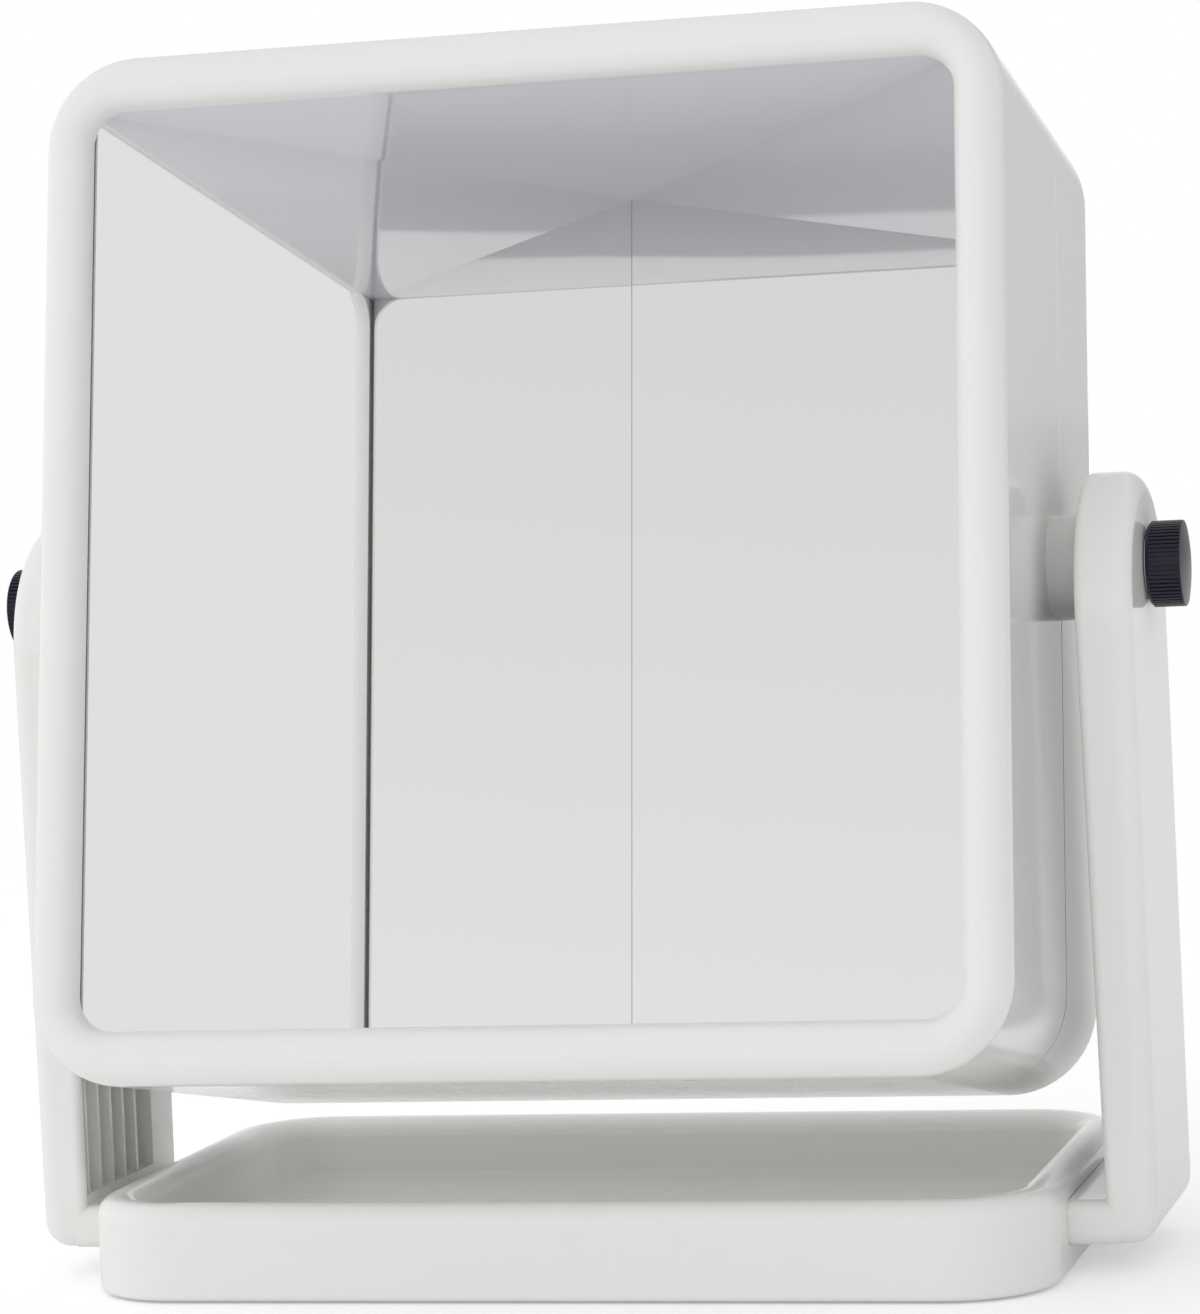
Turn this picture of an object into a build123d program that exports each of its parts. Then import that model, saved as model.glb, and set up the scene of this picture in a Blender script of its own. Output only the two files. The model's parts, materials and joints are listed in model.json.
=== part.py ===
from build123d import *
from math import atan, cos, degrees, hypot, radians, sin, sqrt
import os

# Tabletop makeup mirror with two flat mirrors at a right angle, in millimetres.
# The origin is under the middle of the whole object on the table, X right, Y back, Z up.
# The housing hangs on its pivot axis and leans back by housing_tilt.

# Rounded front frame and the opening in it
opening_width = 189.6
opening_height = 198.8
opening_corner = 7.5
side_band = 10.2
top_band = 11.6
housing_corner = 20.0
rim_reach = 61.0
rim_curve_depth = 5.5
rim_thickness = 5.5
lip_round = 4.5
lip_land = 0.7

# Walls of the front housing and the rear cover
front_wall = 2.6
seam_depth = 8.0
seam_gap = 0.1
seam_chamfer = 0.3
cover_wall = 2.5
cover_edge_round = 12.0
cover_behind_apex = 19.7
tongue_thickness = 1.4
tongue_length = 3.0
tongue_root = 2.6
tongue_clearance = 0.15
tongue_corner_gap = 14.0

# Mirrors, panels and the holder behind them
mirror_setback = 1.0
mirror_glass = 3.0
mirror_mitre_gap = 0.06
tape_thickness = 1.0
tape_height = 18.0
tape_spacing = 70.0
tape_end_margin = 14.0
holder_wall = 2.4
holder_post_radius = 3.0
holder_post_along = 60.0
panel_slope = 0.022
panel_thickness = 2.2
panel_wall_gap = 0.6
panel_margin = 6.1
panel_back_gap = 2.8
flange_width = 150.0
flange_height = 5.2
flange_thickness = 2.0

# Small screws inside the housing
small_screw_radius = 1.2
small_screw_head_radius = 2.3
small_screw_head = 1.6
small_screw_length = 7.0
small_screw_spacing = 60.0
screw_hole_clearance = 0.05
screw_pass_clearance = 0.2
screw_tip_gap = 0.5

# Large screws of the rear cover and of the arms' feet
large_screw_radius = 1.5
large_screw_head_radius = 2.8
large_screw_head = 1.8
cover_post_radius = 4.5
cover_post_length = 22.0
cover_post_inset = 18.0
cover_post_drop = 12.0
cover_post_web = 2.4
cover_screw_engagement = 9.0
cover_screw_floor = 6.0
foot_screw_engagement = 7.2
foot_screw_margin = 11.0

# Pivots: boss, threaded insert, washers, knob and stud
boss_radius = 11.4
boss_length = 8.2
boss_edge_round = 0.8
boss_notch_gap = 0.35
hub_radius = 7.5
hub_depth = 12.0
insert_radius = 4.0
insert_fit = 0.02
insert_length = 11.8
insert_recess = 0.2
stud_radius = 2.5
stud_fit = 0.05
stud_end_gap = 1.0
pivot_washer_thickness = 1.0
pivot_washer_radius = 10.5
arm_running_gap = 0.2
knob_washer_thickness = 0.5
knob_washer_radius = 6.5
knob_running_gap = 0.1
knob_radius = 9.25
knob_length = 7.5
knob_chamfer = 0.8
knob_dome = 0.9
knob_bore_depth = 5.4
knurl_count = 36
knurl_depth = 0.45
knurl_width = 0.9

# Arms with their feet
arm_thickness = 10.7
arm_depth = 58.0
arm_top_above_pivot = 20.1
arm_bottom = 6.3
arm_outer_round = 4.5
arm_inner_round = 2.0
arm_heel_round = 6.0
arm_inner_lean = 0.55
arm_pad_recess = 1.3
arm_skin = 2.6
arm_front_wall = 2.2
arm_panel_depth = 15.0
arm_pad_radius = 12.0
arm_stud_clearance = 0.2
rib_count = 5
rib_thickness = 1.2
rib_pitch = 7.4
rib_setback = 1.0
rib_first = 6.0
foot_height = 9.5
foot_round = 3.0
foot_reach = 8.2
foot_tenon = 6.2

# Tray that is the base
tray_depth = 124.0
tray_height = 20.5
tray_corner = 22.0
tray_wall = 9.0
tray_skin = 2.2
tray_floor_height = 3.4
tray_floor_round = 5.0
tray_rim_round = 4.3
tray_skirt_round = 1.2
basin_draft = 3.0
socket_clearance = 0.15
socket_block_margin = 4.0
tray_pivot_setback = 3.0
pad_radius = 6.0
pad_projection = 0.6
pad_inset_x = 24.0
pad_inset_y = 20.0

# Where the housing hangs
housing_tilt = 11.0
swing_clearance = 2.1

# Places worked out from the sizes above, in the housing's own depth and height from the pivot
half_opening_x = opening_width / 2
half_opening_z = opening_height / 2
rim_curve_width = side_band - lip_round - lip_land
rim_x = half_opening_x + side_band
rim_z = half_opening_z + top_band
rim_front = -rim_reach
rim_root = rim_front + rim_curve_depth
rim_back = rim_front + rim_thickness
cover_front = seam_depth + seam_gap
mirror_front = rim_back + mirror_setback
mirror_apex = mirror_front + half_opening_x
tape_offset = mirror_glass + tape_thickness
holder_offset = tape_offset + holder_wall
cover_back = mirror_apex + cover_behind_apex
cover_post_x = rim_x - front_wall - cover_post_inset
cover_post_z = half_opening_z - cover_post_drop
boss_end = rim_x + boss_length

# Places in the stand's frame
arm_pad_x = boss_end + pivot_washer_thickness + arm_running_gap
arm_rim_x = arm_pad_x - arm_pad_recess
arm_outer = arm_pad_x + arm_thickness
knob_washer_inner = arm_outer + knob_running_gap
knob_inner = knob_washer_inner + knob_washer_thickness
knob_edge = knob_inner + knob_length
stud_inner = boss_end - insert_recess - insert_length - stud_end_gap
stud_outer = knob_inner + knob_bore_depth
tray_x = arm_pad_x - foot_reach
tray_bottom = pad_projection
tray_top = tray_bottom + tray_height
tray_floor_top = tray_bottom + tray_floor_height
tray_floor_bottom = tray_floor_top - tray_skin
foot_end = tray_x - foot_tenon
foot_top = arm_bottom + foot_height
foot_screw_spacing = arm_depth - 2 * foot_screw_margin
tilt = radians(housing_tilt)
corner_depth = rim_reach - rim_curve_depth
corner_height = rim_z - rim_curve_width
corner_distance = hypot(corner_depth, corner_height)
corner_bulge = hypot(rim_curve_depth * corner_depth, rim_curve_width * corner_height) / corner_distance
swing_radius = corner_distance + corner_bulge
pivot_z = tray_top + swing_clearance + swing_radius
front_curve = hypot(rim_curve_depth * cos(tilt), rim_curve_width * sin(tilt))
front_reach = corner_depth * cos(tilt) + corner_height * sin(tilt) + front_curve
back_flat_depth = cover_back - cover_edge_round
back_flat_z = rim_z - cover_edge_round
back_reach = back_flat_depth * cos(tilt) + back_flat_z * sin(tilt) + cover_edge_round
pivot_y = (front_reach - back_reach) / 2
tray_y = pivot_y + tray_pivot_setback
arm_arc_height = arm_top_above_pivot - arm_depth / 2
arm_arc_z = pivot_z + arm_arc_height
lean = radians(arm_inner_lean)

# Planes of the tilted housing
back_direction = Vector(0, cos(tilt), -sin(tilt))
up_direction = Vector(0, sin(tilt), cos(tilt))
pivot = Vector(0, pivot_y, pivot_z)
front_axis = Axis(pivot, -back_direction)


def at_depth(depth):
    """Plane square to the housing's depth, its normal towards the user."""
    return Plane(origin=pivot + back_direction * depth, x_dir=(1, 0, 0), z_dir=-back_direction)


def at_height(height):
    """Plane level with the housing's floor, X across and Y along the depth."""
    return Plane(origin=pivot + up_direction * height, x_dir=(1, 0, 0), z_dir=up_direction)


def beside(x, side=1):
    """Plane square to the pivot axis at x, its normal outward on that side."""
    return Plane(origin=pivot + Vector(side * x, 0, 0), x_dir=back_direction, z_dir=(side, 0, 0))


def tray_level(z):
    """Level plane at a height, centred on the tray."""
    return Plane(origin=(0, tray_y, z), x_dir=(1, 0, 0), z_dir=(0, 0, 1))


def across_arm(x):
    """Plane square to the pivot axis in the stand's frame, Y across and Z up."""
    return Plane(origin=(x, 0, 0), x_dir=(0, 1, 0), z_dir=(1, 0, 0))


def disc_plane(x):
    """Plane square to the pivot axis, centred on it, in the stand's frame."""
    return Plane(origin=(x, pivot_y, pivot_z), x_dir=(0, 1, 0), z_dir=(1, 0, 0))


def behind_mirror(along, offset):
    """Point in plan: along the right mirror from its front edge, offset behind its face."""
    x = half_opening_x - (along - offset) / sqrt(2)
    return (x, mirror_front + (along + offset) / sqrt(2))


def panel_height(depth):
    """Height of the sloping face of the top panel at a depth."""
    return half_opening_z - panel_slope * (depth - mirror_front)


def twin(piece):
    """The left-hand twin of a right-hand piece."""
    with BuildPart() as other:
        mirror(piece.part, about=Plane.YZ)
    return other


def save(piece, name):
    """Label a finished piece and write its file."""
    piece.part.label = name
    export_step(piece.part, f"parts/{name}.step")


def tube_along_x(start, end, outer, bore, side=1):
    """A ring or sleeve on the pivot axis between two distances from the middle."""
    with BuildPart() as tube:
        with BuildSketch(disc_plane(side * start)):
            Circle(outer)
            Circle(bore, mode=Mode.SUBTRACT)
        extrude(amount=side * (end - start))
    return tube


os.makedirs("parts", exist_ok=True)

# Front housing: the frame's section swept round the outline, then the lip of the opening
with BuildPart() as rim_lip:
    with BuildSketch(at_depth(rim_front)):
        RectangleRounded(
            2 * (rim_x - rim_curve_width), 2 * (rim_z - rim_curve_width), housing_corner - rim_curve_width
        )
        RectangleRounded(opening_width, opening_height, opening_corner, mode=Mode.SUBTRACT)
    extrude(amount=-rim_thickness)
    fillet(rim_lip.faces().sort_by(front_axis)[-1].inner_wires()[0].edges(), lip_round)

with BuildPart() as front_housing:
    with BuildLine(at_depth(rim_root)) as rim_path:
        FilletPolyline((rim_x, 0), (rim_x, rim_z), (-rim_x, rim_z), (-rim_x, 0), radius=housing_corner)
    with BuildSketch(at_height(0)) as rim_section:
        with BuildLine():
            crest_x = rim_x - rim_curve_width
            EllipticalCenterArc(
                (crest_x, rim_root), rim_curve_width, rim_curve_depth, start_angle=270, arc_size=90
            )
            Polyline(
                (rim_x, rim_root),
                (rim_x, seam_depth - seam_chamfer),
                (rim_x - seam_chamfer, seam_depth),
                (rim_x - front_wall, seam_depth),
                (rim_x - front_wall, rim_back),
                (crest_x, rim_back),
                (crest_x, rim_front),
            )
        make_face()
    sweep(sections=rim_section.sketch, path=rim_path.line)
    mirror(about=at_height(0))
    add(rim_lip.part)
    # Posts that take the rear cover's screws, each joined to the side wall by a web
    with BuildSketch(at_depth(seam_depth)):
        with GridLocations(2 * cover_post_x, 2 * cover_post_z, 2, 2):
            Circle(cover_post_radius)
        with GridLocations(2 * cover_post_x + cover_post_inset, 2 * cover_post_z, 2, 2):
            Rectangle(cover_post_inset, cover_post_web)
    extrude(amount=cover_post_length)
    with BuildSketch(at_depth(cover_front)):
        with GridLocations(2 * cover_post_x, 2 * cover_post_z, 2, 2):
            Circle(large_screw_radius + screw_hole_clearance)
    extrude(amount=seam_gap + cover_screw_engagement + screw_tip_gap, mode=Mode.SUBTRACT)
    # Blind holes in the back of the frame for the panels' screws
    screw_row_z = half_opening_z + panel_thickness + flange_height / 2
    with BuildSketch(at_depth(rim_back)):
        with GridLocations(small_screw_spacing, 2 * screw_row_z, 3, 2):
            Circle(small_screw_radius + screw_hole_clearance)
    extrude(amount=small_screw_length - flange_thickness - small_screw_head, mode=Mode.SUBTRACT)
    # Pivot bosses with the hub behind each and the seat of the threaded insert
    for side in (-1, 1):
        with BuildSketch(beside(boss_end - boss_length - front_wall, side)):
            Circle(boss_radius)
        extrude(amount=boss_length + front_wall)
        with BuildSketch(beside(boss_end - boss_length - hub_depth, side)):
            Circle(hub_radius)
        extrude(amount=hub_depth)
        with BuildSketch(beside(boss_end - insert_length - insert_recess, side)):
            Circle(insert_radius)
        extrude(amount=insert_length + insert_recess, mode=Mode.SUBTRACT)
        with BuildSketch(beside(stud_inner - stud_end_gap, side)):
            Circle(stud_radius + screw_pass_clearance)
        extrude(amount=boss_end - stud_inner + stud_end_gap, mode=Mode.SUBTRACT)
        boss_rim = front_housing.faces().filter_by(Axis.X).sort_by(Axis.X)[-1 if side > 0 else 0]
        fillet(boss_rim.outer_wire().edges(), boss_edge_round)

# Rear cover: a shell with rounded back edges, locating tongues and screw tubes
with BuildPart() as cover_block:
    with BuildSketch(at_depth(cover_front)):
        RectangleRounded(2 * rim_x, 2 * rim_z, housing_corner)
    extrude(amount=cover_front - cover_back)
    fillet(cover_block.faces().sort_by(front_axis)[0].edges(), cover_edge_round)
    chamfer(cover_block.faces().sort_by(front_axis)[-1].edges(), seam_chamfer)

with BuildPart() as cover_tubes:
    with BuildSketch(at_depth(cover_front)):
        with GridLocations(2 * cover_post_x, 2 * cover_post_z, 2, 2):
            Circle(cover_post_radius)
    extrude(amount=cover_front - cover_back)
    add(cover_block.part, mode=Mode.INTERSECT)

with BuildPart() as rear_cover:
    add(cover_block.part)
    offset(amount=-cover_wall, openings=rear_cover.faces().sort_by(front_axis)[-1])
    add(cover_tubes.part)
    with BuildSketch(at_depth(cover_back)):
        with GridLocations(2 * cover_post_x, 2 * cover_post_z, 2, 2):
            Circle(large_screw_head_radius + screw_pass_clearance)
    extrude(amount=cover_back - cover_front - cover_screw_floor, mode=Mode.SUBTRACT)
    with BuildSketch(at_depth(cover_front)):
        with GridLocations(2 * cover_post_x, 2 * cover_post_z, 2, 2):
            Circle(large_screw_radius + screw_pass_clearance)
    extrude(amount=-cover_screw_floor, mode=Mode.SUBTRACT)
    tongue_x = rim_x - front_wall - tongue_clearance
    tongue_z = rim_z - front_wall - tongue_clearance
    tongue_half_x = rim_x - housing_corner - tongue_corner_gap
    tongue_half_z = rim_z - housing_corner - tongue_corner_gap
    root_x = rim_x - cover_wall / 2
    root_z = rim_z - cover_wall / 2
    for depth, length, outer_x, outer_z in (
        (cover_front, tongue_length, tongue_x, tongue_z),
        (cover_front + tongue_root, tongue_root, root_x, root_z),
    ):
        with BuildSketch(at_depth(depth)):
            Rectangle(2 * outer_x, 2 * tongue_half_z)
            Rectangle(2 * tongue_half_x, 2 * outer_z)
            Rectangle(
                2 * (tongue_x - tongue_thickness), 2 * (tongue_z - tongue_thickness), mode=Mode.SUBTRACT
            )
        extrude(amount=length)
    for side in (-1, 1):
        with BuildSketch(beside(boss_end - boss_length - hub_depth, side)):
            Circle(boss_radius + boss_notch_gap)
        extrude(amount=hub_depth + boss_length, mode=Mode.SUBTRACT)

# Space between the two panels, which trims the mirrors and the holder to the sloping faces
with BuildPart() as panel_space:
    with BuildSketch(beside(0)):
        with BuildLine():
            Polyline(
                (rim_back, panel_height(rim_back)),
                (cover_back, panel_height(cover_back)),
                (cover_back, -panel_height(cover_back)),
                (rim_back, -panel_height(rim_back)),
                close=True,
            )
        make_face()
    extrude(amount=2 * rim_x, both=True)

panel_x = rim_x - front_wall - panel_wall_gap
panel_z = rim_z - front_wall - panel_wall_gap

with BuildPart() as wall_space:
    with BuildSketch(at_depth(rim_back)):
        RectangleRounded(2 * panel_x, 2 * panel_z, panel_x - rim_x + housing_corner)
    extrude(amount=rim_back - cover_back)

with BuildPart() as right_mirror:
    with BuildSketch(at_height(-rim_z)):
        with BuildLine():
            seam = (mirror_mitre_gap, mirror_apex - mirror_mitre_gap)
            seam_back = (mirror_mitre_gap, mirror_apex - mirror_mitre_gap + mirror_glass * sqrt(2))
            Polyline(behind_mirror(0, 0), seam, seam_back, behind_mirror(0, mirror_glass), close=True)
        make_face()
    extrude(amount=2 * rim_z)
    add(panel_space.part, mode=Mode.INTERSECT)

with BuildPart() as right_mirror_tape:
    mirror_length = half_opening_x * sqrt(2)
    for row in (-1, 0, 1):
        with BuildSketch(at_height(row * tape_spacing - tape_height / 2)):
            with BuildLine():
                Polyline(
                    behind_mirror(tape_end_margin, mirror_glass),
                    behind_mirror(mirror_length - tape_end_margin, mirror_glass),
                    behind_mirror(mirror_length - tape_end_margin, tape_offset),
                    behind_mirror(tape_end_margin, tape_offset),
                    close=True,
                )
            make_face()
        extrude(amount=tape_height)

post_offset = holder_offset + holder_post_radius - holder_wall / 2
post_x, post_depth = behind_mirror(holder_post_along, post_offset)

with BuildPart() as mirror_holder:
    with BuildSketch(at_height(-rim_z)):
        with BuildLine():
            front_inner = behind_mirror(0, tape_offset)
            front_outer = behind_mirror(0, holder_offset)
            Polyline(
                front_inner,
                (0, mirror_apex + tape_offset * sqrt(2)),
                (-front_inner[0], front_inner[1]),
                (-front_outer[0], front_outer[1]),
                (0, mirror_apex + holder_offset * sqrt(2)),
                front_outer,
                close=True,
            )
        make_face()
        with Locations((post_x, post_depth), (-post_x, post_depth)):
            Circle(holder_post_radius)
    extrude(amount=2 * rim_z)
    add(panel_space.part, mode=Mode.INTERSECT)
    add(wall_space.part, mode=Mode.INTERSECT)
    for end in (-1, 1):
        with BuildSketch(at_height(end * (half_opening_z + panel_thickness))):
            with Locations((post_x, post_depth), (-post_x, post_depth)):
                Circle(small_screw_radius + screw_hole_clearance)
        extrude(amount=-end * (small_screw_length + screw_tip_gap), mode=Mode.SUBTRACT)

# Top panel: a wedge plate over the mirrors with a flange screwed to the frame
panel_back = cover_back - cover_wall - panel_back_gap
panel_offset = holder_offset + panel_margin
edge_shift = panel_offset * sqrt(2)
with BuildPart() as top_panel:
    with BuildSketch(beside(0)):
        with BuildLine():
            Polyline(
                (rim_back, panel_height(rim_back)),
                (rim_back, half_opening_z + panel_thickness),
                (panel_back, half_opening_z + panel_thickness),
                (panel_back, panel_height(panel_back)),
                close=True,
            )
        make_face()
    extrude(amount=panel_x, both=True)
    with BuildSketch(at_height(0)):
        with BuildLine():
            corner_depth_back = mirror_front + half_opening_x - panel_x + edge_shift
            nose_x = half_opening_x + mirror_front + edge_shift - panel_back
            Polyline(
                (panel_x, rim_back),
                (panel_x, corner_depth_back),
                (nose_x, panel_back),
                (-nose_x, panel_back),
                (-panel_x, corner_depth_back),
                (-panel_x, rim_back),
                close=True,
            )
        make_face()
    extrude(amount=2 * rim_z, mode=Mode.INTERSECT)
    add(wall_space.part, mode=Mode.INTERSECT)
    with BuildSketch(at_depth(rim_back)):
        with Locations((0, half_opening_z + (panel_thickness + flange_height) / 2)):
            Rectangle(flange_width, panel_thickness + flange_height)
    extrude(amount=-flange_thickness)
    with BuildSketch(at_depth(rim_back)):
        with Locations((0, screw_row_z)):
            with GridLocations(small_screw_spacing, 1, 3, 1):
                Circle(small_screw_radius + screw_pass_clearance)
    extrude(amount=-flange_thickness, mode=Mode.SUBTRACT)
    with BuildSketch(at_height(half_opening_z + panel_thickness)):
        with Locations((post_x, post_depth), (-post_x, post_depth)):
            Circle(small_screw_radius + screw_pass_clearance)
    extrude(amount=panel_height(panel_back) - half_opening_z - panel_thickness, mode=Mode.SUBTRACT)

with BuildPart() as bottom_panel:
    mirror(top_panel.part, about=at_height(0))

with BuildPart() as panel_screws:
    with BuildSketch(at_depth(rim_back + flange_thickness)):
        with GridLocations(small_screw_spacing, 2 * screw_row_z, 3, 2):
            Circle(small_screw_radius)
    extrude(amount=small_screw_length - small_screw_head - screw_tip_gap)
    with BuildSketch(at_depth(rim_back + flange_thickness)):
        with GridLocations(small_screw_spacing, 2 * screw_row_z, 3, 2):
            Circle(small_screw_head_radius)
    extrude(amount=-small_screw_head)

with BuildPart() as holder_screws:
    for end in (-1, 1):
        with BuildSketch(at_height(end * (half_opening_z + panel_thickness))):
            with Locations((post_x, post_depth), (-post_x, post_depth)):
                Circle(small_screw_radius)
        extrude(amount=-end * small_screw_length)
        with BuildSketch(at_height(end * (half_opening_z + panel_thickness))):
            with Locations((post_x, post_depth), (-post_x, post_depth)):
                Circle(small_screw_head_radius)
        extrude(amount=end * small_screw_head)

with BuildPart() as cover_screws:
    head_depth = cover_front + cover_screw_floor
    with BuildSketch(at_depth(head_depth)):
        with GridLocations(2 * cover_post_x, 2 * cover_post_z, 2, 2):
            Circle(large_screw_radius)
    extrude(amount=cover_screw_floor + cover_screw_engagement)
    with BuildSketch(at_depth(head_depth)):
        with GridLocations(2 * cover_post_x, 2 * cover_post_z, 2, 2):
            Circle(large_screw_head_radius)
    extrude(amount=-large_screw_head)

# Pivot hardware on the right, all round the pivot axis
insert_outer = boss_end - insert_recess
right_insert = tube_along_x(
    insert_outer - insert_length, insert_outer, insert_radius - insert_fit, stud_radius + stud_fit
)
right_pivot_washer = tube_along_x(
    boss_end, boss_end + pivot_washer_thickness, pivot_washer_radius, stud_radius + screw_pass_clearance
)
right_knob_washer = tube_along_x(
    knob_washer_inner, knob_inner, knob_washer_radius, stud_radius + stud_fit
)

with BuildPart() as right_stud:
    with BuildSketch(disc_plane(stud_inner)):
        Circle(stud_radius)
    extrude(amount=stud_outer - stud_inner)

with BuildPart() as right_knob:
    with BuildSketch(Plane(origin=(0, pivot_y, pivot_z), x_dir=(1, 0, 0), z_dir=(0, -1, 0))):
        with BuildLine():
            Polyline(
                (knob_edge + knob_dome, 0),
                (knob_inner, 0),
                (knob_inner, knob_radius - knob_chamfer),
                (knob_inner + knob_chamfer, knob_radius),
                (knob_edge - knob_chamfer, knob_radius),
                (knob_edge, knob_radius - knob_chamfer),
            )
            dome_rim = knob_radius - knob_chamfer
            dome_radius = (dome_rim**2 + knob_dome**2) / (2 * knob_dome)
            dome_half_angle = degrees(atan(dome_rim / (dome_radius - knob_dome)))
            CenterArc((knob_edge + knob_dome - dome_radius, 0), dome_radius, 0, dome_half_angle)
        make_face()
    revolve(axis=Axis((0, pivot_y, pivot_z), (1, 0, 0)))
    with BuildSketch(disc_plane(knob_inner)):
        with PolarLocations(knob_radius, knurl_count):
            Polygon((-knurl_depth, 0), (knurl_depth, -knurl_width), (knurl_depth, knurl_width), align=None)
    extrude(amount=knob_length, mode=Mode.SUBTRACT)
    with BuildSketch(disc_plane(knob_inner)):
        Circle(stud_radius + stud_fit)
    extrude(amount=knob_bore_depth, mode=Mode.SUBTRACT)

# Right arm: a moulded channel open inwards, ribbed in front of a flush rear panel
arm_face = Plane(origin=(arm_rim_x, pivot_y, pivot_z), x_dir=(0, 1, 0), z_dir=(cos(lean), 0, sin(lean)))
with BuildPart() as right_arm:
    with BuildSketch(across_arm(arm_rim_x - arm_pad_recess)):
        with Locations((pivot_y, (arm_bottom + arm_arc_z) / 2)):
            Rectangle(arm_depth, arm_arc_z - arm_bottom)
        with Locations((pivot_y, arm_arc_z)):
            Circle(arm_depth / 2)
    extrude(amount=arm_outer - arm_rim_x + arm_pad_recess)
    split(bisect_by=arm_face, keep=Keep.TOP)
    fillet(right_arm.edges().filter_by(Axis.Y).group_by(Axis.Z)[0].sort_by(Axis.X)[-1], arm_heel_round)
    outer_face = right_arm.faces().sort_by(Axis.X)[-1]
    fillet(outer_face.edges().filter_by(Axis.Y, reverse=True), arm_outer_round)
    inner_face = right_arm.faces().sort_by(Axis.X)[0]
    fillet(inner_face.edges().filter_by(Axis.Y, reverse=True), arm_inner_round)
    with BuildSketch(across_arm(foot_end)):
        with Locations((pivot_y, arm_bottom + foot_height / 2)):
            RectangleRounded(arm_depth, foot_height, foot_round)
    extrude(amount=arm_pad_x + arm_skin - foot_end)
    # The channel, cut square to the leaning inner face: first down to the ribs, then between them
    recess_width = arm_depth - arm_front_wall - arm_panel_depth
    recess_middle = (arm_front_wall - arm_panel_depth) / 2
    recess_low = foot_top + arm_front_wall - pivot_z
    recess_depth = arm_thickness - arm_skin
    for with_ribs, depth in ((False, rib_setback), (True, recess_depth)):
        with BuildSketch(arm_face):
            with Locations((0, (recess_low + arm_arc_height) / 2)):
                Rectangle(arm_depth - 2 * arm_front_wall, arm_arc_height - recess_low)
            with Locations((0, arm_arc_height)):
                Circle(arm_depth / 2 - arm_front_wall)
            with Locations((recess_middle, 0)):
                Rectangle(recess_width, 2 * pivot_z, mode=Mode.INTERSECT)
            if with_ribs:
                with Locations((rib_first - arm_depth / 2 + rib_pitch * (rib_count - 1) / 2, 0)):
                    with GridLocations(rib_pitch, 1, rib_count, 1):
                        Rectangle(rib_thickness, 2 * pivot_z, mode=Mode.SUBTRACT)
            Circle(arm_pad_radius, mode=Mode.SUBTRACT)
        extrude(amount=depth, mode=Mode.SUBTRACT)
    # The round pad that the pivot washer runs on, sunk into the channel, and the stud's hole
    with BuildSketch(disc_plane(arm_pad_x)):
        Circle(arm_pad_radius + rib_thickness)
    extrude(amount=-arm_thickness, mode=Mode.SUBTRACT)
    with BuildSketch(disc_plane(arm_pad_x)):
        Circle(stud_radius + arm_stud_clearance)
    extrude(amount=arm_thickness, mode=Mode.SUBTRACT)
    foot_screw_x = tray_x - foot_tenon / 2
    with BuildSketch(Plane.XY.offset(arm_bottom)):
        with Locations((foot_screw_x, pivot_y)):
            with GridLocations(1, foot_screw_spacing, 1, 2):
                Circle(large_screw_radius + screw_hole_clearance)
    extrude(amount=foot_screw_engagement + screw_tip_gap, mode=Mode.SUBTRACT)

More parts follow.
